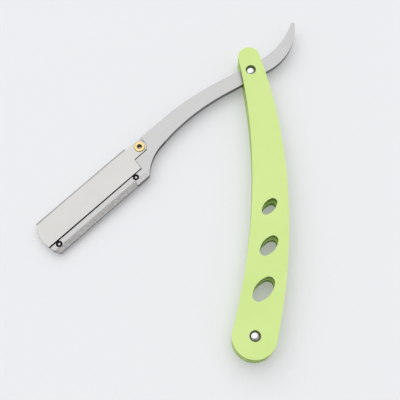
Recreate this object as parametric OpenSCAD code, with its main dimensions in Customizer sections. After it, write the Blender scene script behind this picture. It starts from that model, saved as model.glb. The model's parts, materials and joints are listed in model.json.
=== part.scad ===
// Folding straight razor that takes a half double-edge blade.
// The razor lies on its back scale. The origin is on the pivot axis at the resting plane,
// the chord of the handle runs along -Y and +Z points out of the front scale.
// The arm (tail, tang, shank and blade holder) is drawn in its own frame: pivot at the origin,
// +X towards the toe and +Y towards the cutting edge. It is then turned to its opening angle.

/* [Handle] */
// Distance between the pivot and the end rivet
handle_reach = 122.8; // [122:0.1:124]
// Thickness of one scale
scale_t = 3; // [2.6:0.1:3.4]
// Gap between the two scales
scale_gap = 3.4; // [3.4:0.1:4]
// Radius of the handle's crowned long side
crown_r = 258.5; // [250:0.5:270]
// Radius of the handle's hollow long side, which faces the blade
hollow_r = 279.5; // [275:0.5:290]
// Radius of the handle's rounded upper end
upper_end_r = 5; // [4.8:0.1:5.4]
// Radius of the handle's rounded lower end
lower_end_r = 9.2; // [8.8:0.1:9.6]

/* [Oval holes] */
// Length of the smallest hole
hole_length = 8.7; // [7.6:0.1:9]
// Width of the smallest hole
hole_width = 5; // [4.6:0.1:5.4]
// Growth from each hole to the next
hole_growth = 1.18; // [1.1:0.01:1.2]
// Slant of the holes from the X axis
hole_slant = 51.5; // [45:0.5:60]

/* [Rivets] */
// Radius of the rivet pins
pin_r = 1.2; // [1.1:0.05:1.3]
// Radius of a domed rivet cap
cap_r = 2.05; // [1.9:0.05:2.1]
// Height of a domed rivet cap
cap_h = 0.65; // [0.6:0.05:0.8]
// Radius of the recess round a cap
recess_r = 2.4; // [2.3:0.05:2.5]
// Depth of the recess round a cap
recess_depth = 0.85; // [0.8:0.05:1]
// Outer radius of the tube that keeps the lower ends of the scales apart
spacer_r = 2.2; // [2:0.1:2.3]
// Outer radius of the pivot washers
washer_r = 3.3; // [3:0.1:3.4]

/* [Arm] */
// Angle of the arm from the +X axis as the razor lies half open
arm_angle = 224.4; // [224:0.1:225]
// Thickness of the arm
arm_t = 2.4; // [2.2:0.1:2.4]
// Radius of the shank's long outer curve
spine_r = 132.6; // [132:0.1:134]
// Radius of the shank's long inner curve
belly_r = 101.8; // [101:0.1:103]
// Radius of the curve that leads from the shank to the heel
heel_r = 22.5; // [22:0.1:24]
// Radius of the tail's hollow side
tail_hollow_r = 36; // [35:0.1:37]
// Radius of the tail's crowned side
tail_crown_r = 28; // [27:0.1:28.5]
// Radius of the tail's tip
tail_tip_r = 0.9; // [0.7:0.1:1.1]

/* [Blade holder] */
// Distance from the pivot to the middle of the eyelet, along the arm
eyelet_x = 62.6; // [62:0.1:63]
// Radius of the holder's rounded nose
nose_r = 17.3; // [17:0.1:18]
// Width of the narrow bar that carries the bevel
bar_w = 4.7; // [4.4:0.1:4.8]
// Width of the ground bevel on the bar
bevel_w = 2.5; // [2:0.1:2.8]
// Thickness of the bar at the cutting edge
bar_edge_t = 0.8; // [0.7:0.1:1]
// Thickness of the leaf's folded sheet
sheet_t = 0.5; // [0.4:0.05:0.5]
// Width of the slit between the leaf and the bar
slit_w = 0.55; // [0.4:0.05:0.6]

/* [Blade] */
// Length of the half blade
blade_length = 43; // [42.8:0.1:43]
// Width of the half blade
blade_w = 11; // [10.8:0.1:11]
// Thickness of the half blade
blade_t = 0.1; // [0.08:0.01:0.12]
// How far the cutting edge stands out of the bar
blade_exposure = 0.2; // [0.1:0.05:0.5]

/* [Hidden] */
$fn = 96;

far = 200;             // longer than any clipping edge needs
run = 0.05;            // running clearance
over = 1;              // how far a cutting tool runs past a face
lap = 4;               // how far neighbouring areas of an outline overlap
bite = 0.02;           // how far curves that touch run into each other, so that they cross cleanly

// Heights above the resting plane
handle_t = 2 * scale_t + scale_gap;
mid_z = handle_t / 2;

// Handle: the discs that round its two ends, and its holes
pivot = [0, 0];
end_rivet = [0, -handle_reach];
upper_end = [-0.8, 7.1];
lower_end = [-0.2, -123];
hole_places = [[7, -67.5], [6.4, -85], [3.8, -103.6]];
hole_end_share = 0.36; // radius of an oval's ends as a share of its width

// Rivets
pin_depth_in_cap = 0.3;
washer_play = 0.03;

// Arm outline, in the arm's frame
edge_y = 5.1;
back_y = -11.4;
spine_c = [45.8, back_y + spine_r - bite];
belly_c = [39, 98.5];
belly_end_x = 55.8;
tail_hollow_c = [-15.8, -37.2];
tail_crown_c = [-13.3, -22.6];
nose_c = [105, -2.9];
toe_corner_r = 1;
heel_corner_r = 1.5;

// Holder details, in the arm's frame
ear_r = 3.05;
eyelet = [eyelet_x, back_y + ear_r];
eyelet_r = 1.55;
eyelet_bore_r = 0.95;
flange_r = 2.5;
flange_t = 0.3;
ear_bore_r = eyelet_r + 0.08;
bar_y = edge_y - bar_w;
leaf_edge_y = bar_y - slit_w;
slit_taper = 0.2;      // how much wider the slit is at the nose
shoulder_x = 68.3;
shoulder_lean = 0.8;   // how much further out the shoulder is at the slit than at the ear
shoulder_gap = 0.07;
ear_slit_w = 0.4;
ear_slit_x = 61.2;
ear_play = 0.15;
tongue_inset = 0.5;
pocket_depth = sheet_t + run;
bend_r = arm_t / 2;
leaf_back_y = back_y - 1.3;
notch_x = 68.4;

// Stop pins that hold the half blade endways, and the saw cut that it lies in
stop_pin_r = 0.5;
stop_recess_r = 1.45;
stop_recess_depth = 0.6;
stop_pin_sink = 0.3;
stop_pin_y = 1.6;
blade_end_play = 0.15;
heel_pin_x = 73.7;
toe_pin_x = heel_pin_x + blade_length + 2 * (stop_pin_r + blade_end_play);
saw_cut_t = 0.2;
saw_cut_x = 72.5;
bevel_run_out_r = 4;
bevel_start_x = 71.5;

// Half blade
blade_x = heel_pin_x + stop_pin_r + blade_end_play;
blade_y = edge_y + blade_exposure - blade_w;
blade_step_x = 2.8;
blade_step_y = 1.9;
blade_slot_w = 1.2;
blade_slot_end = 4.5;
blade_lobe_r = 2.2;

function heading(a) = [cos(a), sin(a)];
function bearing(v) = atan2(v.y, v.x);

// The point at a distance d from a in the direction of b
function along(a, b, d) = a + d * (b - a) / norm(b - a);

// One of the two points where circles of radius r1 about c1 and r2 about c2 cross
function crossing(c1, r1, c2, r2, side) =
    let (
        d = norm(c2 - c1),
        e = (c2 - c1) / d,
        foot = (r1 * r1 - r2 * r2 + d * d) / (2 * d)
    )
    c1 + foot * e + side * sqrt(r1 * r1 - foot * foot) * [-e.y, e.x];

// Where the straight line that crosses between two circles meets the first and the second,
// just inside both
function tangent_points(c1, r1, c2, r2, side) =
    let (a = bearing(c2 - c1) + side * acos((r1 + r2) / norm(c2 - c1)))
    [c1 + (r1 - bite) * heading(a), c2 - (r2 - bite) * heading(a)];

// The centre of a corner disc of radius r that touches the edge line from below, at a distance d
// from c and on its +X side
function corner_under_edge(c, d, r) =
    let (y = edge_y - r)
    [c.x + sqrt(d * d - pow(y - c.y, 2)), y];

// Everything on the left of the line from a to b
module left_of(a, b) {
    translate(a)
        rotate(bearing(b - a))
            translate([-far, 0])
                square([2 * far, far]);
}

// Rounds a corner of a shape with a disc about c that touches its two sides at angles a1 and a2
module round_corner(c, r, a1, a2) {
    difference() {
        children();
        translate(c)
            polygon([[0, 0], 2 * r * heading(a1), 2.5 * r * heading((a1 + a2) / 2), 2 * r * heading(a2)]);
    }
    translate(c)
        circle(r + bite);
}

// Handle

module oval(length, width) {
    end_r = hole_end_share * width;
    end_x = length / 2 - end_r;
    half = width / 2;
    side_r = (end_x * end_x + half * half - end_r * end_r) / (2 * (half - end_r));
    touch_x = end_x * side_r / (side_r - end_r);
    intersection() {
        translate([0, half - side_r])
            circle(side_r);
        translate([0, side_r - half])
            circle(side_r);
        square([2 * touch_x, width], center = true);
    }
    for (s = [-1, 1])
        translate([s * end_x, 0])
            circle(end_r + bite);
}

module handle_outline() {
    crown_c = crossing(upper_end, crown_r - upper_end_r, lower_end, crown_r - lower_end_r, -1);
    hollow_c = crossing(upper_end, hollow_r + upper_end_r, lower_end, hollow_r + lower_end_r, -1);
    upper_crown = crown_c + crown_r * heading(bearing(upper_end - crown_c));
    lower_crown = crown_c + crown_r * heading(bearing(lower_end - crown_c));
    difference() {
        intersection() {
            translate(crown_c)
                circle(crown_r);
            left_of(upper_crown, upper_end);
            left_of(lower_end, lower_crown);
        }
        translate(hollow_c)
            circle(hollow_r);
    }
    translate(upper_end)
        circle(upper_end_r + bite);
    translate(lower_end)
        circle(lower_end_r + bite);
}

// One scale with its outer face on the resting plane
module handle_scale() {
    difference() {
        linear_extrude(scale_t)
            difference() {
                handle_outline();
                for (i = [0:2])
                    translate(hole_places[i])
                        rotate(hole_slant)
                            oval(hole_length * pow(hole_growth, i), hole_width * pow(hole_growth, i));
            }
        for (place = [pivot, end_rivet])
            translate(place) {
                translate([0, 0, -over])
                    cylinder(scale_t + 2 * over, pin_r + run, pin_r + run);
                translate([0, 0, -over])
                    cylinder(recess_depth + over, recess_r, recess_r);
            }
    }
}

module back_scale() {
    color("#d2e894")
        handle_scale();
}

// Turns a back piece over to its place on the front
module on_front() {
    translate([0, 0, handle_t])
        mirror([0, 0, 1])
            children();
}

module front_scale() {
    color("#d2e894")
        on_front()
            handle_scale();
}

// Rivets

module rivet_pin(place) {
    end_z = recess_depth - pin_depth_in_cap;
    color("silver")
        translate([place.x, place.y, end_z])
            cylinder(handle_t - 2 * end_z, pin_r, pin_r);
}

// Domed cap whose flat side lies on the floor of the back recess
module rivet_cap(place) {
    dome_r = (cap_r * cap_r + cap_h * cap_h) / (2 * cap_h);
    color("silver")
        translate([place.x, place.y, recess_depth])
            difference() {
                intersection() {
                    translate([0, 0, dome_r - cap_h])
                        sphere(dome_r);
                    translate([0, 0, -cap_h])
                        cylinder(cap_h, cap_r, cap_r);
                }
                translate([0, 0, -pin_depth_in_cap])
                    cylinder(pin_depth_in_cap + over, pin_r, pin_r);
            }
}

module tube(height, outer_r, inner_r) {
    difference() {
        cylinder(height, outer_r, outer_r);
        translate([0, 0, -over])
            cylinder(height + 2 * over, inner_r, inner_r);
    }
}

module pivot_washer() {
    color("darkgray")
        translate([0, 0, scale_t])
            tube((scale_gap - arm_t) / 2 - washer_play, washer_r, pin_r + run);
}

module end_spacer() {
    color("#c8d98c")
        translate([end_rivet.x, end_rivet.y, scale_t])
            tube(scale_gap, spacer_r, pin_r + run);
}

// Arm

// Places a piece of the arm, drawn about the arm's middle plane
module on_arm() {
    translate([0, 0, mid_z])
        rotate(arm_angle)
            children();
}

// Tail, tang with straight sides, shank, heel and the holder's bed as far as the nose
module body_outline() {
    back = tangent_points(spine_c, spine_r, tail_hollow_c, tail_hollow_r, 1);
    front = tangent_points(belly_c, belly_r, tail_crown_c, tail_crown_r, 1);
    tip = crossing(tail_crown_c, tail_crown_r - tail_tip_r, tail_hollow_c, tail_hollow_r + tail_tip_r, -1);
    belly_end_y = belly_c.y - sqrt(pow(belly_r, 2) - pow(belly_end_x - belly_c.x, 2));
    heel_c = along([belly_end_x, belly_end_y - bite], belly_c, heel_r);
    heel_corner = corner_under_edge(heel_c, heel_r + heel_corner_r, heel_corner_r);
    toe_corner = corner_under_edge(nose_c, nose_r - toe_corner_r, toe_corner_r);
    translate(tip)
        circle(tail_tip_r + bite);
    round_corner(heel_corner, heel_corner_r, 90, bearing(heel_c - heel_corner))
        round_corner(toe_corner, toe_corner_r, bearing(toe_corner - nose_c), 90)
            difference() {
                union() {
                    intersection() {
                        translate(tail_crown_c)
                            circle(tail_crown_r);
                        left_of(tip, tail_hollow_c);
                        left_of(back[1], along(front[1], front[0], lap));
                    }
                    polygon([back[0], front[0], front[1], back[1]]);
                    intersection() {
                        left_of(front[0], along(back[0], back[1], lap));
                        translate([-far, back_y])
                            square([2 * far, edge_y - back_y]);
                        union() {
                            translate(spine_c)
                                circle(spine_r);
                            translate([spine_c.x, -far])
                                square([nose_c.x - spine_c.x, 2 * far]);
                            translate(nose_c)
                                circle(nose_r);
                        }
                    }
                }
                translate(tail_hollow_c)
                    circle(tail_hollow_r);
                intersection() {
                    translate(belly_c)
                        circle(belly_r);
                    translate([-far, -far])
                        square([far + belly_end_x, 2 * far]);
                }
                translate(heel_c)
                    circle(heel_r);
            }
}

// What the leaf covers and sweeps, on the front and the back of the body
module pocket_outline() {
    heel_x = shoulder_x - shoulder_gap;
    polygon([
        [heel_x, -far],
        [far, -far],
        [far, bar_y],
        [heel_x + shoulder_lean, bar_y],
        [heel_x, eyelet.y + ear_r + ear_slit_w],
    ]);
    translate(eyelet)
        circle(ear_r + ear_play);
    translate([ear_slit_x, eyelet.y])
        square([shoulder_x - ear_slit_x, ear_r + ear_slit_w]);
    translate([eyelet.x - ear_r - ear_play, back_y - over])
        square([shoulder_x - eyelet.x + ear_r + ear_play, eyelet.y - back_y + over]);
}

// Wedge that is ground off the front of the bar, from where it runs out beside the heel
module bevel_cut() {
    intersection() {
        translate([0, edge_y - bevel_w, arm_t / 2])
            rotate([90, 0, 90])
                linear_extrude(far)
                    polygon([
                        [0, 0],
                        [2 * bevel_w, -(arm_t - bar_edge_t)],
                        [2 * bevel_w, over],
                        [0, over],
                    ]);
        translate([0, 0, -arm_t])
            linear_extrude(3 * arm_t)
                difference() {
                    translate([bevel_start_x, edge_y - bevel_w - over])
                        square([far, bevel_w + 2 * over]);
                    translate([bevel_start_x, edge_y])
                        circle(bevel_run_out_r, $fn = 64);
                }
    }
}

module both_faces() {
    children();
    mirror([0, 0, 1])
        children();
}

module razor_body() {
    color("gainsboro")
        on_arm()
            difference() {
                translate([0, 0, -arm_t / 2])
                    linear_extrude(arm_t)
                        difference() {
                            body_outline();
                            translate([notch_x, back_y - over])
                                square([far, tongue_inset + over]);
                        }
                both_faces()
                    translate([0, 0, arm_t / 2 - pocket_depth])
                        linear_extrude(arm_t)
                            pocket_outline();
                both_faces()
                    bevel_cut();
                translate([saw_cut_x, back_y - over, -saw_cut_t / 2])
                    cube([far, edge_y - back_y + 2 * over, saw_cut_t]);
                translate([0, 0, -arm_t])
                    cylinder(2 * arm_t, pin_r + run, pin_r + run);
                translate([eyelet.x, eyelet.y, -arm_t])
                    cylinder(2 * arm_t, eyelet_r, eyelet_r);
                for (x = [heel_pin_x, toe_pin_x])
                    translate([x, stop_pin_y, 0]) {
                        translate([0, 0, -arm_t])
                            cylinder(2 * arm_t, stop_pin_r, stop_pin_r);
                        both_faces()
                            translate([0, 0, arm_t / 2 - stop_recess_depth])
                                cylinder(arm_t, stop_recess_r, stop_recess_r);
                    }
            }
}

// Hollow rivet whose rolled flanges hold the ears of the leaf
module brass_eyelet() {
    lip = arm_t / 2 + run;
    color("#d8b45a")
        on_arm()
            translate([eyelet.x, eyelet.y, 0])
                difference() {
                    union() {
                        translate([0, 0, -lip - flange_t])
                            cylinder(2 * (lip + flange_t), eyelet_r, eyelet_r);
                        both_faces()
                            translate([0, 0, lip])
                                cylinder(flange_t, flange_r, flange_r);
                    }
                    translate([0, 0, -arm_t])
                        cylinder(2 * arm_t, eyelet_bore_r, eyelet_bore_r);
                }
}

module stop_pin(x) {
    height = arm_t - 2 * stop_pin_sink;
    color("whitesmoke")
        on_arm()
            translate([x, stop_pin_y, -height / 2])
                cylinder(height, stop_pin_r, stop_pin_r);
}

module half_blade() {
    color("lightsteelblue")
        on_arm()
            translate([blade_x, blade_y, -blade_t / 2])
                linear_extrude(blade_t)
                    difference() {
                        square([blade_length, blade_w]);
                        for (x = [-over, blade_length - blade_step_x])
                            translate([x, blade_w - blade_step_y])
                                square([blade_step_x + over, blade_step_y + over]);
                        translate([blade_slot_end, -over])
                            square([blade_length - 2 * blade_slot_end, blade_slot_w + over]);
                        for (share = [0.25, 0.5, 0.75])
                            translate([blade_length * share, 0])
                                circle(blade_lobe_r);
                    }
}

// Leaf

module leaf_plate_outline() {
    intersection() {
        polygon([
            [notch_x, leaf_back_y - over],
            [nose_c.x + nose_r, leaf_back_y - over],
            [nose_c.x + nose_r, leaf_edge_y - slit_taper],
            [shoulder_x + shoulder_lean, leaf_edge_y],
            [shoulder_x, eyelet.y + ear_r],
            [notch_x, eyelet.y],
        ]);
        union() {
            translate(nose_c)
                circle(nose_r);
            translate([0, -far])
                square([nose_c.x, 2 * far]);
        }
    }
}

// Sheet that is bent round the back edge of the bed, seen along the arm
module leaf_section() {
    bend_y = leaf_back_y + bend_r;
    difference() {
        union() {
            translate([bend_y, 0])
                circle(bend_r);
            translate([bend_y, -bend_r])
                square([bar_y - bend_y, arm_t]);
        }
        translate([bend_y, 0])
            circle(bend_r - sheet_t);
        translate([bend_y, sheet_t - bend_r])
            square([far, arm_t - 2 * sheet_t]);
    }
}

module swing_leaf() {
    color("#dededa")
        on_arm() {
            intersection() {
                translate([0, 0, -arm_t])
                    linear_extrude(2 * arm_t)
                        leaf_plate_outline();
                rotate([90, 0, 90])
                    linear_extrude(far)
                        leaf_section();
            }
            both_faces()
                translate([0, 0, arm_t / 2 - sheet_t])
                    linear_extrude(sheet_t)
                        difference() {
                            union() {
                                translate(eyelet)
                                    circle(ear_r);
                                translate([eyelet.x, back_y])
                                    square([notch_x + over - eyelet.x, 2 * ear_r]);
                            }
                            translate(eyelet)
                                circle(ear_bore_r);
                        }
        }
}

front_scale();
back_scale();
rivet_pin(pivot);  // pivot_pin
on_front() rivet_cap(pivot);  // pivot_cap_front
rivet_cap(pivot);  // pivot_cap_back
on_front() pivot_washer();  // pivot_washer_front
pivot_washer();  // pivot_washer_back
rivet_pin(end_rivet);  // end_pin
on_front() rivet_cap(end_rivet);  // end_cap_front
rivet_cap(end_rivet);  // end_cap_back
end_spacer();
razor_body();
brass_eyelet();
stop_pin(toe_pin_x);  // blade_pin_toe
stop_pin(heel_pin_x);  // blade_pin_heel
half_blade();
swing_leaf();
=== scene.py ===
"""Looks, light and camera for the folding straight razor.

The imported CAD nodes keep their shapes. They get rounded edges and procedural materials here,
and the eyelet is replaced by one with rolled lips.
"""

import json
import math

import bmesh
import bpy
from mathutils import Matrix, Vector


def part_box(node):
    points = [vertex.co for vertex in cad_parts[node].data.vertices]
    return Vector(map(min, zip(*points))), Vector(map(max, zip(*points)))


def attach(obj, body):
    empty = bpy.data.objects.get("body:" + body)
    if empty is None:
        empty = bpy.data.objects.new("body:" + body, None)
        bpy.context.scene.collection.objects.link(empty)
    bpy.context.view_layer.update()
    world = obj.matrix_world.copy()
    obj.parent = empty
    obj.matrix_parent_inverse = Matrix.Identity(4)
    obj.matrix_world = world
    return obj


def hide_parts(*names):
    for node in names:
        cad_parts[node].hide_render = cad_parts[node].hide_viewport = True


MM = 0.001

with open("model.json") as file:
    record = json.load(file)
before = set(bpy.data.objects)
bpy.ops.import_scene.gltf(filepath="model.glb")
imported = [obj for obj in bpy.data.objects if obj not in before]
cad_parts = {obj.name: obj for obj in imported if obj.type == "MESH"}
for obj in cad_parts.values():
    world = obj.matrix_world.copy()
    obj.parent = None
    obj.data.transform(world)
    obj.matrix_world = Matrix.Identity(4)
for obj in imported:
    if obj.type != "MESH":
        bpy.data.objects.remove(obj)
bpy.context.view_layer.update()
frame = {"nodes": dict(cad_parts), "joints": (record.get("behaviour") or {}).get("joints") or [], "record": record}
nodes = frame["nodes"]
scene = bpy.context.scene


# Places on the razor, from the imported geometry. ARM_ANGLE turns the arm's own X axis, which runs from
# the pivot to the toe. Its Y axis points at the cutting edge.

PIVOT = Vector(frame["joints"][0]["pos_m"])
EYELET = Vector(frame["joints"][1]["pos_m"])
ARM_ANGLE = math.radians(224.4)
END_RIVET = sum(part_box("end_pin"), Vector()) / 2
OUTER_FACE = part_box("front_scale")[1].z - PIVOT.z
RECESS = (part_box("end_cap_front")[1].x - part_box("end_cap_front")[0].x) / 2 + 0.4 * MM
FACE_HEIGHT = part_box("razor_body")[1].z - PIVOT.z
BEVEL_START = 2.85 * MM  # Y at which the ground bevel begins
GAP_START = -0.5 * MM  # Y at which the gap beside the leaf's long edge begins
HEEL = 70 * MM  # X at which the bar along the cutting edge begins
EAR_CORNER = 49.8 * MM  # X + Y at the outer corner of the leaf's ear
OVALS = [Vector((x, y, 0)) * MM for x, y in ((7, -67.5), (6.4, -85), (3.8, -103.6))]


# Materials


class Shader:
    """A material's node tree, with a Principled shader and short ways to add and join nodes."""

    def __init__(self, name):
        self.material = bpy.data.materials.new(name)
        self.material.use_nodes = True
        self.tree = self.material.node_tree
        self.surface = self.tree.nodes["Principled BSDF"]
        source = self.tree.nodes.new("ShaderNodeTexCoord")
        self.coordinates, self.normal = source.outputs["Object"], source.outputs["Normal"]

    def set(self, **sockets):
        for name, value in sockets.items():
            self.surface.inputs[name.replace("_", " ")].default_value = value

    def join(self, source, target):
        self.tree.links.new(source, target)

    def mapped(self, scale, angle=0.0):
        """Object coordinates turned by angle about Z, then scaled, in cycles per metre."""
        turn = self.tree.nodes.new("ShaderNodeMapping")
        turn.inputs["Rotation"].default_value = (0, 0, -angle)
        self.join(self.coordinates, turn.inputs["Vector"])
        stretch = self.tree.nodes.new("ShaderNodeMapping")
        stretch.inputs["Scale"].default_value = scale
        self.join(turn.outputs["Vector"], stretch.inputs["Vector"])
        return stretch.outputs["Vector"]

    def parts(self, vector):
        """The X, Y and Z of a vector."""
        node = self.tree.nodes.new("ShaderNodeSeparateXYZ")
        self.join(vector, node.inputs["Vector"])
        return node.outputs

    def noise(self, vector, scale=1.0, detail=3.0, roughness=0.5):
        node = self.tree.nodes.new("ShaderNodeTexNoise")
        node.inputs["Scale"].default_value = scale
        node.inputs["Detail"].default_value = detail
        node.inputs["Roughness"].default_value = roughness
        self.join(vector, node.inputs["Vector"])
        return node.outputs["Fac"]

    def spread(self, value, low, high, to_low, to_high):
        """value between low and high becomes a value between to_low and to_high."""
        node = self.tree.nodes.new("ShaderNodeMapRange")
        for name, number in (
            ("From Min", low),
            ("From Max", high),
            ("To Min", to_low),
            ("To Max", to_high),
        ):
            node.inputs[name].default_value = number
        self.join(value, node.inputs["Value"])
        return node.outputs["Result"]

    def math(self, operation, a, b):
        node = self.tree.nodes.new("ShaderNodeMath")
        node.operation = operation
        for socket, value in zip(node.inputs, (a, b)):
            if isinstance(value, (int, float)):
                socket.default_value = value
            else:
                self.join(value, socket)
        return node.outputs["Value"]

    def mix(self, factor, a, b):
        """Colour a where factor is 0 and b where it is 1. Each is a colour or a socket."""
        node = self.tree.nodes.new("ShaderNodeMix")
        node.data_type = "RGBA"
        self.join(factor, node.inputs["Factor"])
        for socket, value in ((node.inputs[6], a), (node.inputs[7], b)):
            if isinstance(value, tuple):
                socket.default_value = value
            else:
                self.join(value, socket)
        return node.outputs[2]

    def height_from(self, level):
        """How far above or below a level the surface is."""
        return self.math("ABSOLUTE", self.math("SUBTRACT", self.parts(self.coordinates)["Z"], level), 0)

    def distance_from(self, axis):
        """Distance from an upright axis through a point."""
        flat = self.tree.nodes.new("ShaderNodeVectorMath")
        flat.operation = "MULTIPLY"
        flat.inputs[1].default_value = (1, 1, 0)
        self.join(self.coordinates, flat.inputs[0])
        distance = self.tree.nodes.new("ShaderNodeVectorMath")
        distance.operation = "DISTANCE"
        distance.inputs[1].default_value = (axis.x, axis.y, 0)
        self.join(flat.outputs["Vector"], distance.inputs[0])
        return distance.outputs["Value"]

    def edges(self, radius):
        """1 within radius of a sharp edge, and 0 on flat ground."""
        rounded = self.tree.nodes.new("ShaderNodeBevel")
        rounded.samples = 6
        rounded.inputs["Radius"].default_value = radius
        plain = self.tree.nodes.new("ShaderNodeNewGeometry")
        likeness = self.tree.nodes.new("ShaderNodeVectorMath")
        likeness.operation = "DOT_PRODUCT"
        self.join(rounded.outputs["Normal"], likeness.inputs[0])
        self.join(plain.outputs["Normal"], likeness.inputs[1])
        return self.spread(likeness.outputs["Value"], 0.98, 0.8, 0.0, 1.0)

    def bump(self, *layers):
        """Each layer is a height and its distance in metres. The last one lies on top."""
        normal = None
        for height, distance in layers:
            node = self.tree.nodes.new("ShaderNodeBump")
            node.inputs["Distance"].default_value = distance
            self.join(height, node.inputs["Height"])
            if normal:
                self.join(normal, node.inputs["Normal"])
            normal = node.outputs["Normal"]
        self.join(normal, self.surface.inputs["Normal"])


def rgb(red, green, blue):
    """A colour from its usual 0 to 255 values, as the shader wants it."""

    def linear(value):
        value /= 255
        return value / 12.92 if value <= 0.04045 else ((value + 0.055) / 1.055) ** 2.4

    return (linear(red), linear(green), linear(blue), 1.0)


# Painted shade on the plastic walls inside the oval holes
HOLE_WALL_SHADE = rgb(108, 150, 27)
# Painted shade in the recesses round the rivets
RECESS_SHADE = rgb(60, 68, 38)
RUBBED_STEEL = rgb(196, 196, 195)
# Steel sunk below the arm's face: partly duller unpolished steel, partly painted shade
DULL_AND_SHADED_STEEL = rgb(120, 119, 117)
# Painted shade inside the eyelet's bore
BORE_SHADE = rgb(40, 26, 10)


def moulded_plastic(name, colour, deep, worn, side, roughness):
    """Satin moulded plastic: cloudy pigment, fine moulded texture, faint rub marks and paler edges.

    side is painted shade on its upright walls, a darker and more saturated colour, with deeper painted shade
    inside the oval holes. The recesses round the rivets get painted shade.
    """
    s = Shader(name)
    cloud = s.noise(s.mapped((1, 1, 1)), scale=55, detail=4)
    pigment = s.mix(s.spread(cloud, 0.35, 0.65, 0.0, 1.0), deep, colour)
    edge = s.edges(0.5 * MM)
    tone = s.mix(s.math("MULTIPLY", edge, 0.5), pigment, worn)
    upright = s.math("ABSOLUTE", s.parts(s.normal)["Z"], 0)
    # Painted shade: upright walls darker and more saturated, deeper still inside the oval holes
    walls = side
    for middle in OVALS:
        inside = s.spread(s.distance_from(middle), 6.5 * MM, 8 * MM, 1.0, 0.0)
        walls = s.mix(inside, walls, HOLE_WALL_SHADE)
    tone = s.mix(s.spread(upright, 0.2, 0.6, 1.0, 0.0), tone, walls)
    # Painted shade darkens the sunken plastic round each rivet
    sunk = s.math("LESS_THAN", s.height_from(PIVOT.z), OUTER_FACE - 0.06 * MM)
    for axis in (PIVOT, END_RIVET):
        near = s.spread(s.distance_from(axis), RECESS, RECESS + 0.1 * MM, 1.0, 0.0)
        tone = s.mix(s.math("MULTIPLY", s.math("MULTIPLY", near, sunk), 0.75), tone, RECESS_SHADE)
    s.join(tone, s.surface.inputs["Base Color"])
    rub = s.noise(s.mapped((3, 1, 1), math.radians(80)), scale=160, detail=6, roughness=0.65)
    s.join(s.spread(rub, 0.3, 0.7, roughness - 0.06, roughness + 0.08), s.surface.inputs["Roughness"])
    grain = s.noise(s.mapped((1, 1, 1)), scale=5200, detail=2)
    wave = s.noise(s.mapped((1, 1, 1)), scale=90, detail=1)
    s.bump((wave, 0.03 * MM), (grain, 0.006 * MM))
    s.set(IOR=1.49, Specular_IOR_Level=0.4)
    return s.material


def brushed_metal(name, colour, shade, roughness, angle, grain, cut_and_shade=None, ground=None, gap_shade=None):
    """Brushed sheet metal: long fine scratches at angle, uneven sheen and bright worn edges.

    cut_and_shade is the colour of its sheared sides, darker partly as rougher sheared steel and partly as painted
    shade.
    Only the arm has ground, the colour of its bevel, which the wheel leaves speckled and painted shade darkens,
    and gap_shade, the painted shade in the gaps beside the leaf; its other recesses below the face are darker,
    partly as duller steel and partly as painted shade.
    """
    s = Shader(name)
    fine = s.noise(s.mapped(grain, angle), detail=4, roughness=0.6)
    broad = s.noise(s.mapped((grain[0] / 6, grain[1] / 8, grain[2] / 8), angle), detail=2)
    mottle = s.noise(s.mapped((1, 1, 1)), scale=120, detail=3)
    streaks = s.math("ADD", s.math("MULTIPLY", fine, 0.7), s.math("MULTIPLY", broad, 0.3))
    tone = s.mix(s.spread(streaks, 0.3, 0.7, 0.0, 1.0), shade, colour)
    edge = s.math("MULTIPLY", s.edges(0.12 * MM), 0.25)
    tone = s.mix(edge, tone, RUBBED_STEEL)
    if gap_shade:
        place = s.parts(s.mapped((1, 1, 1), ARM_ANGLE))
        on_bevel = s.spread(place["Y"], BEVEL_START - 0.3 * MM, BEVEL_START, 0.0, 1.0)
        past_heel = s.spread(place["X"], HEEL - 8 * MM, HEEL + 2 * MM, 0.0, 1.0)
        # Grinding speckles on the bevel, darker on the whole partly as painted shade on its slope
        speckle = s.noise(s.mapped((1, 1, 1)), scale=1400, detail=2)
        wheel_marks_and_shade = s.mix(s.spread(speckle, 0.35, 0.65, 0.0, 0.55), ground, cut_and_shade)
        tone = s.mix(s.math("MULTIPLY", on_bevel, past_heel), tone, wheel_marks_and_shade)
    if cut_and_shade:
        # Upright sheared sides darker: partly rougher sheared steel, partly painted shade
        upright = s.math("ABSOLUTE", s.parts(s.normal)["Z"], 0)
        tone = s.mix(s.spread(upright, 0.3, 0.6, 1.0, 0.0), tone, cut_and_shade)
    if gap_shade:
        # Painted shade on surfaces sunk below the arm's face: near black in the gaps beside the leaf, darker steel
        # in the other recesses
        deep = s.math("LESS_THAN", s.height_from(PIVOT.z), FACE_HEIGHT - 0.12 * MM)
        beside_bevel = s.math("LESS_THAN", place["Y"], BEVEL_START)
        past_corner = s.math("GREATER_THAN", s.math("ADD", place["X"], place["Y"]), EAR_CORNER)
        hidden = s.math("MULTIPLY", s.math("MULTIPLY", deep, beside_bevel), past_corner)
        in_gap = s.math(
            "MAXIMUM",
            s.math("GREATER_THAN", place["Y"], GAP_START),
            s.math("LESS_THAN", place["X"], HEEL - 1 * MM),
        )
        tone = s.mix(hidden, tone, s.mix(in_gap, DULL_AND_SHADED_STEEL, gap_shade))
    s.join(tone, s.surface.inputs["Base Color"])
    uneven = s.math("ADD", s.math("MULTIPLY", streaks, 0.7), s.math("MULTIPLY", mottle, 0.3))
    s.join(s.spread(uneven, 0.3, 0.7, roughness - 0.06, roughness + 0.08), s.surface.inputs["Roughness"])
    s.bump((broad, 0.003 * MM), (fine, 0.002 * MM))
    s.set(Metallic=1.0)
    return s.material


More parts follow.
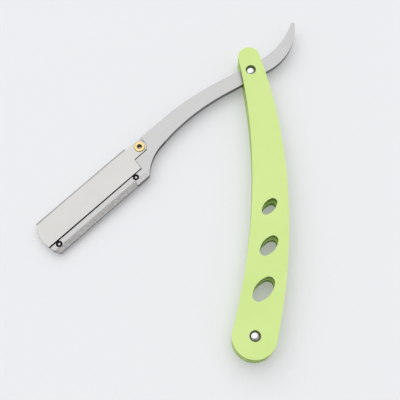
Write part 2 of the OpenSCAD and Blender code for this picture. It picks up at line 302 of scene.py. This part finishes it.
def polished_metal(name, colour, shade, roughness, bore=None):
    """Polished metal with hairline scratches in every direction and a faint haze.

    bore is the axis, radius and depth of a hole through it, painted dark inside as shade.
    """
    s = Shader(name)
    haze = s.noise(s.mapped((1, 1, 1)), scale=700, detail=3)
    hairs = s.noise(s.mapped((300, 5200, 5200), 0.6), detail=2)
    cross = s.noise(s.mapped((5200, 300, 5200), 0.2), detail=2)
    tone = s.mix(s.spread(haze, 0.35, 0.65, 0.0, 1.0), shade, colour)
    if bore:
        # Painted shade darkens the inside of the bore
        axis, radius, depth = bore
        within = s.spread(s.distance_from(axis), radius, radius + 0.15 * MM, 1.0, 0.0)
        below = s.spread(s.height_from(axis.z), depth, depth + 0.2 * MM, 1.0, 0.0)
        tone = s.mix(s.math("MULTIPLY", within, below), tone, BORE_SHADE)
    s.join(tone, s.surface.inputs["Base Color"])
    s.join(s.spread(haze, 0.3, 0.7, roughness * 0.7, roughness * 1.4), s.surface.inputs["Roughness"])
    s.bump((hairs, 0.0008 * MM), (cross, 0.0008 * MM))
    s.set(Metallic=1.0)
    return s.material


lime = moulded_plastic(
    "lime_plastic", rgb(208, 231, 145), rgb(202, 228, 136), rgb(222, 238, 170), rgb(150, 186, 62), 0.42
)
spacer_lime = moulded_plastic(
    "spacer_plastic", rgb(198, 219, 142), rgb(190, 212, 132), rgb(214, 228, 168), rgb(150, 176, 80), 0.55
)
body_steel = brushed_metal(
    "body_steel", rgb(167, 167, 167), rgb(159, 159, 158), 0.34, ARM_ANGLE, (60, 2600, 2600),
    cut_and_shade=rgb(112, 112, 111), ground=rgb(170, 169, 168), gap_shade=rgb(24, 24, 24),
)
leaf_steel = brushed_metal(
    "leaf_steel", rgb(176, 175, 173), rgb(169, 168, 166), 0.36, ARM_ANGLE, (2200, 90, 2200),
    cut_and_shade=rgb(170, 170, 168),
)
blade_steel = brushed_metal(
    "blade_steel", rgb(143, 145, 149), rgb(126, 129, 133), 0.26, ARM_ANGLE, (60, 2600, 2600)
)
washer_steel = brushed_metal(
    "washer_steel", rgb(152, 152, 152), rgb(136, 136, 136), 0.4, 0.0, (900, 900, 900)
)
chrome = polished_metal("chrome", rgb(208, 208, 210), rgb(192, 193, 196), 0.17)
pin_steel = polished_metal("pin_steel", rgb(165, 165, 167), rgb(142, 143, 146), 0.25)
brass = polished_metal("brass", rgb(206, 186, 136), rgb(182, 158, 104), 0.2, (EYELET, 1.0 * MM, 1.2 * MM))

FINISH = {
    "handle_plastic": lime,
    "spacer_plastic": spacer_lime,
    "body_steel": body_steel,
    "leaf_steel": leaf_steel,
    "blade_steel": blade_steel,
    "washer_steel": washer_steel,
    "rivet_chrome": chrome,
    "eyelet_brass": brass,
}
for part in frame["record"]["subparts"]:
    nodes[part["node"]].material_slots[0].material = FINISH[part["material_slot"]]
for name in ("blade_pin_toe", "blade_pin_heel"):
    nodes[name].material_slots[0].material = pin_steel


# Rounded edges on the CAD nodes


def round_edges(node, radius, segments=3, angle=35):
    """Joins a node's split vertices, then rounds every edge sharper than angle degrees."""
    weld = nodes[node].modifiers.new("weld", "WELD")
    weld.merge_threshold = 0.0005 * MM
    bevel = nodes[node].modifiers.new("edges", "BEVEL")
    bevel.width = radius
    bevel.segments = segments
    bevel.limit_method = "ANGLE"
    bevel.angle_limit = math.radians(angle)
    bevel.harden_normals = True
    bevel.use_clamp_overlap = True


for name in ("front_scale", "back_scale"):
    round_edges(name, 0.45 * MM, 4)
round_edges("razor_body", 0.1 * MM, 2)
round_edges("swing_leaf", 0.08 * MM, 2)


# Eyelet with rolled lips


def lathe(name, profile, centre, steps=64):
    """Solid of revolution about the Z axis through centre, from a closed profile of (radius, height)."""
    bm = bmesh.new()
    rings = []
    for i in range(steps):
        a = 2 * math.pi * i / steps
        rings.append(
            [bm.verts.new(centre + Vector((r * math.cos(a), r * math.sin(a), z))) for r, z in profile]
        )
    for i in range(steps):
        here, there = rings[i], rings[(i + 1) % steps]
        for j in range(len(profile)):
            k = (j + 1) % len(profile)
            face = bm.faces.new((here[j], there[j], there[k], here[k]))
            face.smooth = True
    bmesh.ops.recalc_face_normals(bm, faces=bm.faces)
    mesh = bpy.data.meshes.new(name)
    bm.to_mesh(mesh)
    bm.free()
    piece = bpy.data.objects.new(name, mesh)
    scene.collection.objects.link(piece)
    return piece


def eyelet_profile():
    """Half section of a tube whose two ends are rolled outward over the leaf."""
    low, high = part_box("brass_eyelet")
    flange_r = (high.x - low.x) / 2
    half = (high.z - low.z) / 2
    tube_r, bore_r = 1.54 * MM, 0.95 * MM
    inner_bend, outer_bend = 0.45 * MM, 0.3 * MM
    top = []
    for start, middle_r, bend in (
        (math.pi, bore_r + inner_bend, inner_bend),
        (math.pi / 2, flange_r - outer_bend, outer_bend),
    ):
        for i in range(9):
            a = start - i * math.pi / 16
            top.append((middle_r + bend * math.cos(a), half - bend + bend * math.sin(a)))
    top.append((tube_r, half - outer_bend))
    return top + [(r, -z) for r, z in reversed(top)]


eyelet = lathe("rolled_eyelet", eyelet_profile(), EYELET)
eyelet.data.materials.append(brass)
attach(eyelet, "blade_arm")
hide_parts("brass_eyelet")


# Floor, light and camera

# White paper that glows faintly, as on a light table, which keeps the shadows pale
paper = Shader("paper")
fibre = paper.noise(paper.mapped((1, 1, 1)), scale=900, detail=3)
paper.join(paper.mix(fibre, rgb(204, 205, 208), rgb(208, 209, 212)), paper.surface.inputs["Base Color"])
paper.set(Roughness=0.9, Specular_IOR_Level=0.1, Emission_Color=(1, 1, 1, 1), Emission_Strength=0.22)


def tipped_floor():
    """A floor under the handle's long edge on the arm's side, tipped up until it almost meets the toe.

    Half open, the steel arm outweighs the handle, so the razor lies on that edge and on its toe.
    """
    under = [v.co for v in nodes["back_scale"].data.vertices if v.co.z < 0.1 * MM]
    upper = min((v for v in under if v.y > -20 * MM), key=lambda v: v.x)
    lower = min((v for v in under if v.y < -100 * MM), key=lambda v: v.x)
    toe = min((v.co for v in nodes["swing_leaf"].data.vertices), key=lambda v: v.x + v.z)
    along = (upper - lower).normalized()
    aside = Vector((0, 0, 1)).cross(along)
    slope = 0.75 * math.atan2(toe.z, (toe - lower).dot(aside))
    bpy.ops.mesh.primitive_plane_add(size=6, location=lower)
    plane = bpy.context.object
    plane.rotation_euler = (0, slope, -math.atan2(along.x, along.y))
    plane.name = "floor"
    return plane


floor = tipped_floor()
floor.data.materials.append(paper.material)

world = bpy.data.worlds.new("studio")
scene.world = world
world.use_nodes = True
tent = world.node_tree


def tent_node(kind, **values):
    node = tent.nodes.new(kind)
    for name, value in values.items():
        node.inputs[name.replace("_", " ")].default_value = value
    return node


direction = tent.nodes.new("ShaderNodeTexCoord")


def patch(towards, start, full, low, high):
    """Strength of a round patch of the sky: low outside it and high inside it.

    start and full are the cosines, measured from its middle, at which it begins and is full.
    """
    cosine = tent_node("ShaderNodeVectorMath")
    cosine.operation = "DOT_PRODUCT"
    cosine.inputs[1].default_value = Vector(towards).normalized()
    tent.links.new(direction.outputs["Generated"], cosine.inputs[0])
    glow = tent_node("ShaderNodeMapRange", From_Min=start, From_Max=full, To_Min=low, To_Max=high)
    glow.interpolation_type = "SMOOTHSTEP"
    tent.links.new(cosine.outputs["Value"], glow.inputs["Value"])
    return glow.outputs["Result"]


# A white light tent, lit from above and behind, with the darker opening for the camera low in front
glow = tent_node("ShaderNodeMath")
glow.operation = "MULTIPLY"
tent.links.new(patch((-0.13, 0.42, 0.9), 0.6, 0.88, 0.5, 1.85), glow.inputs[0])
tent.links.new(patch((0, -0.87, 0.5), 0.8, 0.95, 1.0, 0.5), glow.inputs[1])
background = tent.nodes["Background"]
background.inputs["Color"].default_value = (1, 1, 1, 1)
tent.links.new(glow.outputs["Value"], background.inputs["Strength"])


# A faint softbox at the back left adds a little direction to the light
key = bpy.data.objects.new("key", bpy.data.lights.new("key", "AREA"))
scene.collection.objects.link(key)
key.data.size = 0.6
key.data.energy = 0.1
key.location = (-0.5, 0.35, 0.9)
key.rotation_euler = (Vector((-0.02, -0.06, 0)) - key.location).to_track_quat("-Z", "Y").to_euler()

camera = bpy.data.objects.new("camera", bpy.data.cameras.new("camera"))
scene.collection.objects.link(camera)
camera.location = (-0.015, -0.1649, 0.2791)
camera.rotation_euler = (math.radians(20.39), math.radians(1.41), math.radians(0.69))
camera.data.lens = 60
camera.data.sensor_width = 36
camera.data.clip_start = 0.01
scene.camera = camera

scene.view_settings.view_transform = "Standard"
